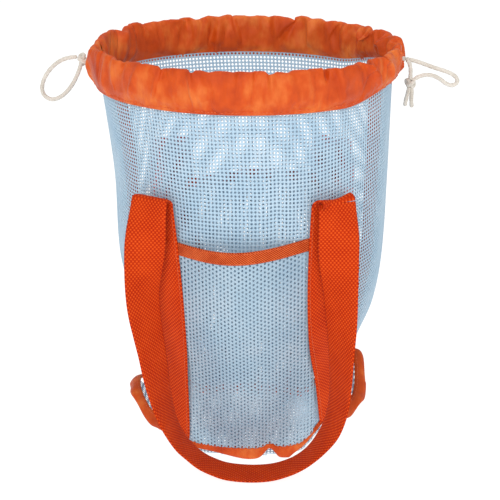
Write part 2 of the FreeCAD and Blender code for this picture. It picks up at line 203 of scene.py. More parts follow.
# Stitches
STITCH_PITCH = 0.0032
STITCH_LENGTH = 0.0024
STITCH_RADIUS = 0.00032
BINDING_STITCH_INSET = 0.0016
STRAP_STITCH_INSET = 0.0022

# Cords
CORD_DIAMETER = 0.004
LEFT_KNOT = (-0.1575, 0.0, 0.386)
LEFT_KNOT_SIZE = 0.0050
LEFT_KNOT_TILT = 80.0
RIGHT_KNOT = (0.156, -0.0022, 0.3665)
RIGHT_KNOT_SIZE = 0.0044
RIGHT_KNOT_TILT = 20.0
LEFT_LOOP_ROUTE = [
    (-0.1620, -0.0015, 0.3890), (-0.1715, -0.0020, 0.3885), (-0.1820, -0.0025, 0.3835),
    (-0.1910, -0.0025, 0.3745), (-0.1970, -0.0020, 0.3630), (-0.1975, -0.0010, 0.3525),
    (-0.1905, 0.0000, 0.3460), (-0.1815, 0.0010, 0.3475), (-0.1735, 0.0020, 0.3540),
    (-0.1675, 0.0025, 0.3620), (-0.1635, 0.0025, 0.3700), (-0.1605, 0.0015, 0.3770),
    (-0.1585, 0.0005, 0.3830),
]
RIGHT_LOOP_ROUTE = [
    (0.1510, 0.0024, 0.3890), (0.1570, 0.0024, 0.3880), (0.1660, 0.0020, 0.3855),
    (0.1765, 0.0015, 0.3815), (0.1870, 0.0010, 0.3785), (0.1955, 0.0005, 0.3755),
    (0.2010, 0.0000, 0.3710), (0.2005, -0.0005, 0.3660), (0.1950, -0.0010, 0.3640),
    (0.1895, -0.0015, 0.3665), (0.1840, -0.0020, 0.3710), (0.1770, -0.0025, 0.3745),
    (0.1695, -0.0030, 0.3750), (0.1620, -0.0030, 0.3725), (0.1575, -0.0026, 0.3685),
]
RIGHT_DROP_ROUTE = [
    (0.1515, -0.0026, 0.3898), (0.1540, -0.0025, 0.3873), (0.1555, -0.0023, 0.3835),
    (0.1562, -0.0022, 0.3785), (0.1560, -0.0022, 0.3729), (0.1560, -0.0022, 0.3690),
]
RIGHT_TAIL_ROUTES = [
    [(0.1550, -0.0035, 0.3635), (0.1540, -0.0045, 0.3570), (0.1520, -0.0050, 0.3505),
     (0.1515, -0.0050, 0.3445)],
    [(0.1575, -0.0010, 0.3635), (0.1580, -0.0005, 0.3565), (0.1575, 0.0000, 0.3490),
     (0.1585, 0.0005, 0.3420)],
]
LEFT_STRAND_ROUTES = [
    [(-0.1460, 0.0026, 0.3820), (-0.1500, 0.0026, 0.3840), (-0.1530, 0.0018, 0.3855),
     (-0.1560, 0.0010, 0.3865)],
    [(-0.1460, -0.0026, 0.3820), (-0.1500, -0.0026, 0.3840), (-0.1530, -0.0020, 0.3850),
     (-0.1560, -0.0012, 0.3855)],
]
RIGHT_STRAND_ROUTE = [
    (0.1440, 0.0024, 0.3900), (0.1475, 0.0024, 0.3898), (0.1500, 0.0024, 0.3893),
    (0.1520, 0.0024, 0.3889),
]

# Camera and light
CAMERA_PLACE = (0.0654, -1.4987, 0.7182)
CAMERA_TURN = (70.777, 0.0, 2.378)
LENS = 115.17
FLOOR_REACH = 60.0
FLOOR_GLOW = 0.90
WORLD_LIGHT = 0.45
# Lights: place, what each points at, size in metres and power in watts
LIGHTS = {
    "key": ((-0.35, -2.2, 1.75), (0.0, 0.0, 0.25), 1.6, 33.0),
    "fill": ((1.5, -1.4, 0.9), (0.0, 0.0, 0.2), 1.2, 5.0),
    "top": ((0.1, 0.3, 2.2), (0.0, 0.0, 0.2), 1.4, 11.0),
}


# ---- Shared shapes ----

def smooth_table(stations, at):
    """Rows of a table of stations, as smooth curves of its first column."""
    table = np.array(stations, float)
    knots = table[:, 0]
    values = table[:, 1:]
    last = len(knots) - 1
    low = np.maximum(np.arange(last + 1) - 1, 0)
    high = np.minimum(np.arange(last + 1) + 1, last)
    slopes = (values[high] - values[low]) / (knots[high] - knots[low])[:, None]
    at = np.asarray(at, float)
    i = np.clip(np.searchsorted(knots, at) - 1, 0, last - 1)
    span = (knots[i + 1] - knots[i])[..., None]
    start, end, leaving, arriving = hermite((at - knots[i])[..., None] / span)
    value = start * values[i] + end * values[i + 1]
    return value + span * (leaving * slopes[i] + arriving * slopes[i + 1])


def hermite(t):
    """Weights of a smooth curve's start, end, slope at its start and slope at its end."""
    t2 = t * t
    t3 = t2 * t
    return 2 * t3 - 3 * t2 + 1, 3 * t2 - 2 * t3, t3 - 2 * t2 + t, t3 - t2


def xyz(x, y, z):
    """Points or directions from their coordinates, each an array or one number."""
    return np.stack(np.broadcast_arrays(x, y, z), axis=-1)


def unit(vectors):
    return vectors / np.maximum(np.linalg.norm(vectors, axis=-1, keepdims=True), 1e-12)


def smoothstep(low, high, value):
    t = np.clip((value - low) / (high - low), 0.0, 1.0)
    return t * t * (3.0 - 2.0 * t)


def ripple(u, v, size, seed, waves=8):
    """Smooth uneven field of about -1 to 1, whose bumps are about a size wide."""
    source = np.random.default_rng(seed)
    total = 0.0
    for _ in range(waves):
        angle = source.uniform(0.0, 2.0 * math.pi)
        length = size * source.uniform(0.75, 1.7)
        phase = source.uniform(0.0, 2.0 * math.pi)
        total = total + np.sin(math.pi / length * (u * math.cos(angle) + v * math.sin(angle)) + phase)
    return total / math.sqrt(1.6 * waves)


def distance_run(points):
    """Distance along a line at each of its points."""
    return np.concatenate([[0.0], np.cumsum(np.linalg.norm(np.diff(points, axis=0), axis=1))])


def spaced_line(points, step, fewest=2, carried=None):
    """A line at equal steps, with the distance run there, or with the vectors that it carries."""
    run = distance_run(points)
    count = max(int(round(run[-1] / step)), fewest)
    at = np.linspace(0.0, run[-1], count + 1)
    line = np.stack([np.interp(at, run, points[:, k]) for k in range(3)], axis=1)
    if carried is None:
        return line, at
    return line, unit(np.stack([np.interp(at, run, carried[:, k]) for k in range(3)], axis=1))


def tangents(line):
    return unit(np.gradient(line, axis=0))


def grid_faces(rows, ring):
    """Quads of a tube of rows, each row a ring of points."""
    faces = []
    for r in range(rows - 1):
        for c in range(ring):
            d = (c + 1) % ring
            faces.append((r * ring + c, r * ring + d, (r + 1) * ring + d, (r + 1) * ring + c))
    return faces


def capped_faces(rows, ring):
    """Faces of a tube of rows that is closed by a cap at each end."""
    caps = [tuple(range(ring))[::-1], tuple(range((rows - 1) * ring, rows * ring))]
    return grid_faces(rows, ring) + caps


def endless_faces(rows, ring, shift=0):
    """Faces of a tube whose last row joins its first, which is turned round by a shift."""
    last = (rows - 1) * ring
    faces = grid_faces(rows, ring)
    for c in range(ring):
        faces.append((last + c, last + (c + 1) % ring, (c + 1 + shift) % ring, (c + shift) % ring))
    return faces


def add_mesh(name, points, faces, uv=None, smooth=True):
    mesh = bpy.data.meshes.new(name)
    mesh.from_pydata(np.asarray(points).tolist(), [], faces)
    mesh.polygons.foreach_set("use_smooth", [smooth] * len(mesh.polygons))
    if uv is not None:
        corners = np.zeros(len(mesh.loops), int)
        mesh.loops.foreach_get("vertex_index", corners)
        layer = mesh.uv_layers.new(name="cloth")
        layer.data.foreach_set("uv", np.asarray(uv, float)[corners].ravel())
    mesh.update()
    piece = bpy.data.objects.new(name, mesh)
    bpy.context.scene.collection.objects.link(piece)
    return piece


def dress(piece, material, nodes=(), body="bag"):
    """Give a piece its material, slot and CAD nodes, and the body that it rides on, if one."""
    piece.data.materials.append(material)
    if body:
        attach(piece, body)
    if nodes:
        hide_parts(*nodes)
    return piece


# ---- Materials ----

class Nodes:
    """Short way to build a node material."""

    def __init__(self, name):
        self.material = bpy.data.materials.new(name)
        self.material.use_nodes = True
        self.tree = self.material.node_tree
        self.shader = self.tree.nodes["Principled BSDF"]

    def add(self, kind, settings=None, **inputs):
        node = self.tree.nodes.new(kind)
        for key, value in (settings or {}).items():
            setattr(node, key, value)
        for key, value in inputs.items():
            socket = node.inputs[int(key[1:])] if key[0] == "_" else node.inputs[key.replace("_", " ")]
            if isinstance(value, bpy.types.NodeSocket):
                self.tree.links.new(value, socket)
            else:
                socket.default_value = value
        return node

    def math(self, operation, *values):
        inputs = {f"_{i}": value for i, value in enumerate(values)}
        return self.add("ShaderNodeMath", {"operation": operation}, **inputs).outputs[0]

    def weighted(self, first, first_share, second, second_share):
        """Sum of two values, each times its share."""
        parts = [self.math("MULTIPLY", first, first_share), self.math("MULTIPLY", second, second_share)]
        return self.math("ADD", *parts)

    def uv(self):
        return self.add("ShaderNodeUVMap", {"uv_map": "cloth"}).outputs[0]

    def place(self):
        return self.add("ShaderNodeTexCoord").outputs["Object"]

    def noise(self, vector, scale, detail=3.0, roughness=0.55):
        settings = {"Vector": vector, "Scale": scale, "Detail": detail, "Roughness": roughness}
        return self.add("ShaderNodeTexNoise", **settings).outputs["Fac"]

    def stretch(self, vector, scale, turn=(0.0, 0.0, 0.0)):
        node = self.add("ShaderNodeMapping", Vector=vector, Scale=scale, Rotation=turn)
        return node.outputs[0]

    def ramp(self, factor, stops):
        node = self.add("ShaderNodeValToRGB", Fac=factor)
        ramp = node.color_ramp
        while len(ramp.elements) < len(stops):
            ramp.elements.new(0.5)
        for element, (place, colour) in zip(ramp.elements, stops):
            element.position = place
            element.color = colour
        return node.outputs[0]

    def finish(self, colour, height, bump_distance, roughness, sheen, strength=0.6, specular=0.35):
        shader = self.shader.inputs
        self.tree.links.new(colour, shader["Base Color"])
        bump = self.add("ShaderNodeBump", Height=height, Strength=strength, Distance=bump_distance)
        self.tree.links.new(bump.outputs[0], shader["Normal"])
        shader["Roughness"].default_value = roughness
        shader["Sheen Weight"].default_value = sheen
        shader["Sheen Roughness"].default_value = 0.4
        shader["Specular IOR Level"].default_value = specular
        return self.material


def linear(red, green, blue):
    """Colour given as it looks on a screen, from 0 to 255, as linear light."""
    channels = []
    for channel in (red, green, blue):
        share = channel / 255.0
        channels.append(share / 12.92 if share <= 0.04045 else ((share + 0.055) / 1.055) ** 2.4)
    return (*channels, 1.0)


def nylon_material():
    """Thin plain-woven nylon with a soft sheen and cloudy shades."""
    nodes = Nodes("orange_nylon")
    place = nodes.place()
    cloudy = nodes.noise(place, 26.0, 4.0)
    fine = nodes.noise(nodes.stretch(place, (1.0, 1.0, 0.35)), 150.0, 3.0)
    shade = nodes.weighted(cloudy, 0.75, fine, 0.25)
    colour = nodes.ramp(shade, [
        (0.34, linear(184, 56, 0)), (0.50, linear(212, 80, 12)), (0.68, linear(234, 126, 54)),
    ])
    split = nodes.add("ShaderNodeSeparateXYZ", Vector=nodes.uv())
    threads = 2.0 * math.pi / 0.0007
    warp = nodes.math("SINE", nodes.math("MULTIPLY", split.outputs[0], threads))
    weft = nodes.math("SINE", nodes.math("MULTIPLY", split.outputs[1], threads))
    weave = nodes.math("MULTIPLY", nodes.math("MULTIPLY", warp, weft), 0.12)
    height = nodes.math("ADD", weave, nodes.math("MULTIPLY", fine, 0.9))
    return nodes.finish(colour, height, 0.0008, 0.45, 0.05, 0.5, 0.25)


def webbing_material():
    """Coarse webbing of staggered floats, like brickwork, with painted shade darkening the gaps between
    them.
    """
    nodes = Nodes("orange_webbing")
    split = nodes.add("ShaderNodeSeparateXYZ", Vector=nodes.uv())
    row = nodes.math("COSINE", nodes.math("MULTIPLY", split.outputs[0], math.pi / RIB))
    column = nodes.math("COSINE", nodes.math("MULTIPLY", split.outputs[1], 2.0 * math.pi / BRICK))
    brick = nodes.math("MULTIPLY", row, column)
    rib = nodes.math("COSINE", nodes.math("MULTIPLY", split.outputs[0], 2.0 * math.pi / RIB))
    worn = nodes.noise(nodes.place(), 45.0, 4.0)
    relief = nodes.weighted(brick, 0.5, rib, 0.12)
    # The colour follows the relief: painted shade in the gaps between floats and ribs, plus random
    # uneven tone.
    shade = nodes.math("ADD", nodes.math("ADD", relief, 0.30), nodes.math("MULTIPLY", worn, 0.5))
    colour = nodes.ramp(shade, [
        (0.05, linear(160, 26, 0)), (0.52, linear(200, 54, 2)), (1.05, linear(228, 86, 26)),
    ])
    return nodes.finish(colour, relief, 0.0005, 0.7, 0.02, 0.5, 0.10)


def binding_material():
    """Narrow twill tape with slanting ribs, with painted shade in the hollows between them."""
    nodes = Nodes("orange_binding")
    split = nodes.add("ShaderNodeSeparateXYZ", Vector=nodes.uv())
    slant = nodes.math("ADD", split.outputs[0], nodes.math("MULTIPLY", split.outputs[1], 1.1))
    stripe = nodes.math("SINE", nodes.math("MULTIPLY", slant, 2.0 * math.pi / 0.0024))
    worn = nodes.noise(nodes.place(), 60.0, 4.0)
    # The colour follows the ribs' height: painted shade in their hollows, plus random uneven tone.
    shade = nodes.weighted(stripe, 0.42, worn, 0.9)
    colour = nodes.ramp(shade, [
        (0.05, linear(150, 34, 0)), (0.45, linear(206, 72, 16)), (0.90, linear(240, 120, 62)),
    ])
    return nodes.finish(colour, stripe, 0.0006, 0.7, 0.03, 0.6, 0.15)


def net_material(name, painted_shade_factor):
    """Knitted pale blue polyester yarn. A factor below 1 darkens the yarn's colour: painted shade, used
    for the pocket net.
    """
    nodes = Nodes(name)
    place = nodes.place()
    cloudy = nodes.noise(place, 22.0, 3.0)
    yarn = nodes.noise(nodes.stretch(place, (1.0, 1.0, 0.4)), 900.0, 2.0)
    shade = nodes.weighted(cloudy, 0.6, yarn, 0.4)
    tones = [(0.30, (164, 194, 216)), (0.52, (180, 206, 224)), (0.75, (200, 218, 232))]
    # Painted shade: every tone is scaled by the factor
    stops = [(stop, linear(*(level * painted_shade_factor for level in tone))) for stop, tone in tones]
    colour = nodes.ramp(shade, stops)
    return nodes.finish(colour, yarn, 0.0003, 0.6, 0.1, 0.5, 0.25)


def thread_material():
    nodes = Nodes("orange_thread")
    twist = nodes.noise(nodes.place(), 700.0, 2.0)
    colour = nodes.ramp(twist, [(0.3, linear(200, 66, 20)), (0.7, linear(240, 118, 66))])
    return nodes.finish(colour, twist, 0.0002, 0.5, 0.1)


def cord_material():
    """Cream cotton, a little uneven in shade."""
    nodes = Nodes("cream_cotton")
    place = nodes.place()
    fibre = nodes.noise(place, 900.0, 3.0)
    cloudy = nodes.noise(place, 60.0, 3.0)
    shade = nodes.weighted(fibre, 0.5, cloudy, 0.5)
    colour = nodes.ramp(shade, [
        (0.30, linear(190, 180, 166)), (0.50, linear(216, 209, 198)), (0.75, linear(236, 231, 222)),
    ])
    return nodes.finish(colour, fibre, 0.0003, 0.8, 0.3, 0.5, 0.2)


def floor_material():
    """Studio floor with a strong glow of its own, so that shadows on it are faint."""
    nodes = Nodes("pale_floor")
    nodes.shader.inputs["Emission Color"].default_value = (1.0, 1.0, 1.0, 1.0)
    nodes.shader.inputs["Emission Strength"].default_value = FLOOR_GLOW
    grain = nodes.noise(nodes.place(), 3.0, 2.0)
    colour = nodes.ramp(grain, [(0.3, (0.30, 0.30, 0.30, 1.0)), (0.7, (0.32, 0.32, 0.32, 1.0))])
    return nodes.finish(colour, grain, 0.0001, 0.9, 0.0, 0.05, 0.1)


# ---- Net ----

def wall_size(z):
    """Half width, half depth, and centre in Y and in X, of the wall at a height."""
    size = smooth_table(WALL_STATIONS, z)
    return size[..., 0], size[..., 1], size[..., 2], size[..., 3]


def wall_y(x, z, side):
    half_width, half_depth, centre_y, centre_x = wall_size(z)
    share = (x - centre_x) / half_width
    return centre_y + side * half_depth * np.sqrt(np.maximum(1.0 - share ** 2, 0.0))


def casing_foot(x):
    """Height of the seam between the net and the casing, which is drawn up towards the right end."""
    return CASING_BOTTOM + CASING_SEAM_RISE * smoothstep(0.095, 0.150, x)


def rim_edges(x, y):
    """Heights above the lifted base of the rim's lower edge and of its seam with the net.

    The rim is limp. At the front it is tucked under except for two lobes with a kink between.
    """
    front = smoothstep(-0.010, -0.045, y)
    lobes = sum(np.exp(-((x - middle) / width) ** 2) for middle, width in FRONT_LOBES)
    kink = np.exp(-((x - FRONT_KINK[0]) / FRONT_KINK[1]) ** 2)
    tucked = smoothstep(-0.085, -0.055, x) * smoothstep(0.095, 0.080, x)
    showing = 0.0035 + 0.0085 * np.minimum(lobes, 1.0)
    depth = RIM_HEIGHT * (1.0 - front * tucked) + front * tucked * showing
    seam = RIM_HEIGHT + front * (0.0050 * kink - 0.0010)
    return np.maximum(seam - depth, 0.0) + front * 0.0030 * kink, seam


def lifted(x, y=0.0):
    """Rise of the base away from its flat middle. The back right corner is curled further up."""
    rises = {}
    for hand in (LEFT, RIGHT):
        steps = [height * smoothstep(low, high, np.abs(x)) for height, low, high in
                 (FRONT_RISE[hand], END_RISE[hand])]
        rises[hand] = steps[0] + steps[1]
    curl = BACK_CURL * smoothstep(0.080, 0.110, x) * smoothstep(-0.008, 0.034, y)
    return np.where(x > 0.0, rises[RIGHT] + curl, rises[LEFT])


def lens_net(name, surface, columns, rows, keep=None, hole_size=NET_HOLE):
    """Closed net with round holes. The surface gives points and normals at cell coordinates."""
    keep = np.ones((columns, rows), bool) if keep is None else keep
    a, b = np.meshgrid(np.arange(2 * columns + 1) / 2.0, np.arange(2 * rows + 1) / 2.0, indexing="ij")
    middle, normals = surface(a, b)
    crossing = (a % 1.0 == 0.0) & (b % 1.0 == 0.0)
    half = NET_HALF_THICKNESS * np.where(crossing, 1.0, 0.8)[..., None]
    front = (middle + normals * half).reshape(-1, 3)
    back = (middle - normals * half).reshape(-1, 3)
    count = a.size
    width = 2 * rows + 1
    i, j = np.nonzero(keep)
    turn = np.arange(8) * math.pi / 4.0
    hole_a = i[:, None] + 0.5 + hole_size * np.cos(turn)
    hole_b = j[:, None] + 0.5 + hole_size * np.sin(turn)
    hole = surface(hole_a, hole_b)[0].reshape(-1, 3)
    outer = (2 * i[:, None] + np.array([2, 2, 1, 0, 0, 0, 1, 2])) * width
    outer = outer + 2 * j[:, None] + np.array([1, 2, 2, 2, 1, 0, 0, 0])
    inner = 2 * count + np.arange(i.size * 8).reshape(-1, 8)
    following = (np.arange(8) + 1) % 8
    near = np.stack([outer, outer[:, following], inner[:, following], inner], axis=2)
    far = np.stack([outer[:, following] + count, outer + count, inner, inner[:, following]], axis=2)
    faces = [near.reshape(-1, 4), far.reshape(-1, 4)]
    beside = np.pad(keep, 1)
    for step_a, step_b, first in ((1, 0, 7), (0, 1, 1), (-1, 0, 3), (0, -1, 5)):
        border = outer[~beside[1 + i + step_a, 1 + j + step_b]]
        for k in (first, (first + 1) % 8):
            start = border[:, k]
            end = border[:, (k + 1) % 8]
            faces.append(np.stack([end, start, start + count, end + count], axis=1))
    points = np.concatenate([front, back, hole])
    used, faces = np.unique(np.concatenate(faces), return_inverse=True)
    net = add_mesh(name, points[used], faces.reshape(-1, 4).tolist())
    net.data.set_sharp_from_angle(angle=NET_SHARP_ANGLE)
    return net


def wall_surface(side):
    """Surface of one wall panel with its turned-in edges, from its right seam to its left one."""
    def surface(a, b):
        right = np.maximum(TURNED_IN_COLUMNS - a, 0.0)
        left = np.maximum(a - TURNED_IN_COLUMNS - WALL_COLUMNS, 0.0)
        inward = (right + left) / TURNED_IN_COLUMNS
        angle = math.pi * np.clip((a - TURNED_IN_COLUMNS) / WALL_COLUMNS, 0.0, 1.0)
        foot_x = RIM_HALF_WIDTH * np.cos(angle)
        foot_y = RIM_CENTRE_Y + side * RIM_HALF_DEPTH * np.sin(angle)
        foot = rim_edges(foot_x, foot_y)[1] + lifted(foot_x, foot_y)
        top = casing_foot(CASING_HALF_WIDTH * np.cos(angle)) + NET_TUCK
        z = foot + (top - foot) * b / WALL_ROWS
        half_width, half_depth, centre_y, centre_x = wall_size(z)
        slack = NET_SLACK * ripple(half_width * angle, z, NET_SLACK_SIZE, 11 + side)
        slack = slack * smoothstep(0.0, 0.03, z - foot) * smoothstep(0.0, 0.03, top - z)
        slack = slack * np.sin(angle) ** 0.5
        pinch = FOOT_PINCH * np.abs(np.cos(angle)) ** 3 * smoothstep(0.045, 0.0, z - foot)
        reach = RIM_HALF_WIDTH - FOOT_PINCH - 0.001
        half_width = half_width + np.maximum(reach - half_width, 0.0) * smoothstep(0.040, 0.0, z - foot)
        half_width = half_width - NET_SKIN + slack - pinch
        half_depth = half_depth - NET_SKIN + slack
        x = centre_x + half_width * np.cos(angle) - np.sign(np.cos(angle)) * TURNED_IN * inward
        y = centre_y + side * half_depth * np.sin(angle)
        y = np.where(inward > 0, side * SEAM_GAP, side * np.maximum(side * y, SEAM_GAP))
        oval = xyz(np.cos(angle) / half_width, side * np.sin(angle) / half_depth, 0.0)
        normal = np.where((inward > 0)[..., None], [0.0, side, 0.0], unit(oval))
        return xyz(x, y, z), normal
    return surface


def make_wall_nets(side, material):
    word = SIDE_WORD[side]
    total = WALL_COLUMNS + 2 * TURNED_IN_COLUMNS
    splits = (0, WALL_SPLIT, total - WALL_SPLIT, total)
    surface = wall_surface(side)
    for part, first, last in zip(("right", "middle", "left"), splits, splits[1:]):
        name = f"{word}_net_{part}"
        net = lens_net(name, lambda a, b, s=first: surface(a + s, b), last - first, WALL_ROWS)
        dress(net, material, [f"{word}_mesh_panel"])


def make_base_net(material):
    reach_x = RIM_HALF_WIDTH - 0.006
    reach_y = RIM_HALF_DEPTH - 0.003
    columns = int(2.0 * reach_x / NET_COLUMN)
    rows = int(2.0 * reach_y / NET_COLUMN)

    def surface(a, b):
        x = (a / columns - 0.5) * 2.0 * reach_x
        y = RIM_CENTRE_Y + (b / rows - 0.5) * 2.0 * reach_y
        z = BASE_NET_LEVEL + lifted(x, y) + 0.0012 * ripple(x, y, 0.03, 5)
        step = 0.0005
        slope = (lifted(x + step, y) - lifted(x - step, y)) / (2.0 * step)
        normal = xyz(-slope, 0.0, 1.0)
        return xyz(x, y, z), unit(normal)

    i, j = np.meshgrid(np.arange(columns) + 0.5, np.arange(rows) + 0.5, indexing="ij")
    x = (i / columns - 0.5) * 2.0
    y = (j / rows - 0.5) * 2.0
    net = lens_net("base_net", surface, columns, rows, x * x + y * y < 1.0)
    dress(net, material, ["base_mesh_panel"])


def pocket_point(side, x, t):
    """Place on a pocket and its outward direction, from its bottom, 0, to its top edge, 1."""
    share = x / POCKET_HALF_WIDTH
    top = POCKET_TOP + POCKET_TOP_SLANT * share + POCKET_TOP_SAG * share ** 2
    bottom = POCKET_BOTTOM + lifted(x, side) + rim_edges(x, side * 1.0)[1] - RIM_HEIGHT
    z = bottom + (top - bottom) * t
    bulge = POCKET_BOTTOM_BULGE + (POCKET_TOP_BULGE - POCKET_BOTTOM_BULGE) * t
    inside = np.maximum(1.0 - share ** 2, 0.0)
    y = wall_y(x, z, side) + side * (POCKET_EDGE_LIFT + bulge * inside ** 1.5)
    slack = POCKET_SLACK * ripple(x, z, 0.045, 31 + side)
    slack = slack * smoothstep(0.0, 0.012, POCKET_HALF_WIDTH - np.abs(x))
    y = y + side * slack * smoothstep(0.0, 0.1, t)
    slope = (wall_y(x + 0.001, z, side) - wall_y(x - 0.001, z, side)) / 0.002
    slope = slope - side * 3.0 * bulge * np.sqrt(inside) * share / POCKET_HALF_WIDTH
    outward = unit(xyz(-side * slope, side, 0.0))
    return xyz(x, y, z), outward


def make_pocket(side, net_look, binding_look, thread_look):
    word = SIDE_WORD[side]
    columns = int(2.0 * POCKET_HALF_WIDTH / POCKET_COLUMN)
    rows = int((POCKET_TOP - POCKET_BOTTOM) / POCKET_ROW)

    def surface(a, b):
        x = side * (1.0 - 2.0 * a / columns) * POCKET_HALF_WIDTH
        staggered = b + 0.25 * np.sin(math.pi * a)
        return pocket_point(side, x, 0.985 * np.clip(staggered / rows, 0.0, 1.0))

    net = lens_net(f"{word}_pocket_net", surface, columns, rows, hole_size=POCKET_HOLE)
    dress(net, net_look, [f"{word}_pocket_mesh"])
    x = np.linspace(-1.0, 1.0, 200) * (POCKET_HALF_WIDTH + 0.001)
    edge, outwards = pocket_point(side, x, np.full(200, 1.0))
    line = edge - np.array([0.0, 0.0, BINDING_HEIGHT / 2.0 - 0.0005])
    line, outwards = spaced_line(line, TAPE_STEP, 4, outwards)
    upward = np.tile([0.0, 0.0, 1.0], (len(line), 1))
    binding = ribbon(f"{word}_pocket_binding_tape", line, upward, BINDING_HEIGHT, BINDING_THICKNESS, 10)
    dress(binding, binding_look, [f"{word}_pocket_binding"])
    seams = []
    half = BINDING_HEIGHT / 2.0 - BINDING_STITCH_INSET
    for height in (half, -half):
        seams.append((line + upward * height + outwards * BINDING_THICKNESS * 0.47, outwards))
    stitches(f"{word}_pocket_stitches", seams, thread_look)


# ---- Webbing and tapes ----

def ribbon(name, line, across, width, thickness, columns, rib_relief=0.0):
    """Closed flat band along a line, with round edges and, if asked, cross ribs on both faces."""
    tangent = tangents(line)
    across = unit(across - tangent * np.sum(across * tangent, axis=1, keepdims=True))
    face = np.cross(tangent, across)
    run = distance_run(line)
    share = np.linspace(-1.0, 1.0, columns + 1)
    share = 0.7 * share + 0.3 * np.sin(share * math.pi / 2.0)
    loop = np.concatenate([share, share[-2:0:-1]])
    sign = np.concatenate([np.ones(columns + 1), -np.ones(columns - 1)])
    half = thickness / 2.0 * np.sqrt(1.0 - np.abs(loop) ** 10)
    offset = loop * width / 2.0
    ribs = rib_relief * (0.5 + 0.5 * np.cos(2.0 * math.pi * run / RIB))
    height = half + ribs[:, None] * (half > 0) * (1.0 - np.abs(loop) ** 8)
    points = line[:, None, :] + across[:, None, :] * offset[None, :, None]
    points = points + face[:, None, :] * (sign * height)[..., None]
    ring = 2 * columns
    uv = np.stack([np.repeat(run, ring), np.tile(offset, len(line))], axis=1)
    return add_mesh(name, points.reshape(-1, 3), capped_faces(len(line), ring), uv)


def stitches(name, rows, material, pitch=STITCH_PITCH):
    """Rows of machine stitches as one piece, each row given by its points and outward directions."""
    ring = 6
    swell = np.array([0.35, 1.0, 1.0, 0.35])
    reach = np.array([-0.5, -0.32, 0.32, 0.5]) * STITCH_LENGTH
    turn = np.arange(ring) * 2.0 * math.pi / ring
    stitch_faces = capped_faces(len(reach), ring)
    points = []
    faces = []
    for line, outwards in rows:
        line, outwards = spaced_line(line, pitch, 4, outwards)
        along = tangents(line)
        sideways = np.cross(along, outwards)
        for place, ahead, out, across in zip(line, along, outwards, sideways):
            first = len(points)
            for step, size in zip(reach, swell):
                for angle in turn:
                    spoke = (out * math.sin(angle) + across * math.cos(angle)) * STITCH_RADIUS * size
                    points.append(place + ahead * step + spoke)
            faces += [tuple(first + corner for corner in face) for face in stitch_faces]
    return dress(add_mesh(name, points, faces), material)


def strap_line(side, hand):
    """Middle of a sewn strap, and the directions across it and out from it, at points up the wall."""
    t = np.linspace(0.0, 1.0, 120)
    foot_shift, middle_shift, top_shift = STRAP_SHIFT[hand]
    shift = foot_shift * (1.0 - t) + top_shift * t
    shift = shift + (middle_shift - (foot_shift + top_shift) / 2.0) * np.sin(math.pi * t)
    x = hand * (STRAP_FOOT_X + (STRAP_TOP_X - STRAP_FOOT_X) * t) + shift
    foot = rim_edges(x[0], side * 1.0)[1] + lifted(x[0] - hand * 0.006, side) + 0.001
    z = foot + (STRAP_TOP - foot) * t
    step = 0.0005
    turn = np.arctan((wall_y(x + step, z, side) - wall_y(x - step, z, side)) / (2.0 * step))
    across = xyz(hand * np.cos(turn), hand * np.sin(turn), 0.0)
    outwards = xyz(-side * np.sin(turn), side * np.cos(turn), 0.0)
    lift = STRAP_CLEARANCE + WEBBING_THICKNESS / 2.0
    return xyz(x, wall_y(x, z, side), z) + outwards * lift, across, outwards


def webbing(name, line, across, columns=22):
    line, across = spaced_line(line, RIB / ROWS_PER_RIB, 4, across)
    return ribbon(name, line, across, WEBBING_WIDTH, WEBBING_THICKNESS, columns, RIB_RELIEF)


def handle_line(side):
    """Middle of a handle from its left fold to its right one, and the way to its outer edge."""
    rows = np.array(HANDLE_STATIONS)
    hands = np.where(rows[:, 0] < HANDLE_MIDDLE_X, LEFT, RIGHT)
    turn = np.radians(rows[:, 3])
    y = rows[:, 2]
    if side == BACK:
        y = -rows[:, 2] + BACK_HANDLE_SET_BACK * (1.0 - rows[:, 1] / HINGE_Z) ** 2
    columns = [rows[:, 0], y, rows[:, 1], hands * np.cos(turn), side * np.sin(turn)]
    table = np.column_stack([np.arange(len(rows))] + columns)
    smooth = smooth_table(table, np.linspace(0, len(rows) - 1, 900))
    smooth = smooth[smooth[:, 2] < FOLD_FOOT]
    line = smooth[:, :3]
    across = xyz(smooth[:, 3], smooth[:, 4], 0.0)
    return line, unit(across)


def make_straps_and_handle(side, material, thread_look):
    word = SIDE_WORD[side]
    line, across = handle_line(side)
    handle = webbing(f"{word}_carrying_handle", line, across)
    dress(handle, material, [f"{word}_handle"], f"{word}_handle")
    rows = []
    for hand in (LEFT, RIGHT):
        name = f"{word}_{HAND_WORD[hand]}"
        strap, strap_across, outwards = strap_line(side, hand)
        piece = webbing(f"{name}_sewn_strap", strap, strap_across)
        dress(piece, material, [f"{name}_strap"])
        for edge in (-1.0, 1.0):
            inset = edge * (WEBBING_WIDTH / 2.0 - STRAP_STITCH_INSET)
            seam = strap + strap_across * inset + outwards * (WEBBING_THICKNESS / 2.0 + RIB_RELIEF)
            rows.append((seam[:-4], outwards[:-4]))
        top = 0 if hand == LEFT else -1
        make_fold(f"{name}_strap_fold", strap[-1], strap_across[-1], line[top],
                  across[top], material)
    stitches(f"{word}_strap_stitches", rows, thread_look)


def make_fold(name, start, start_across, end, end_across, material):
    """Turn of webbing from the top of a sewn strap over to the top of the handle."""
    t = np.linspace(0.0, 1.0, 60)[:, None]
    first, last, leaving, arriving = hermite(t)
    up = np.array([0.0, 0.0, FOLD_REACH])
    line = first * start + last * end + leaving * up * 1.4 - arriving * up
    across = unit(start_across * (1.0 - t) + end_across * t)
    fold = webbing(name, line, across)
    dress(fold, material, body=None)
    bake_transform(fold)


# ---- Casing ----

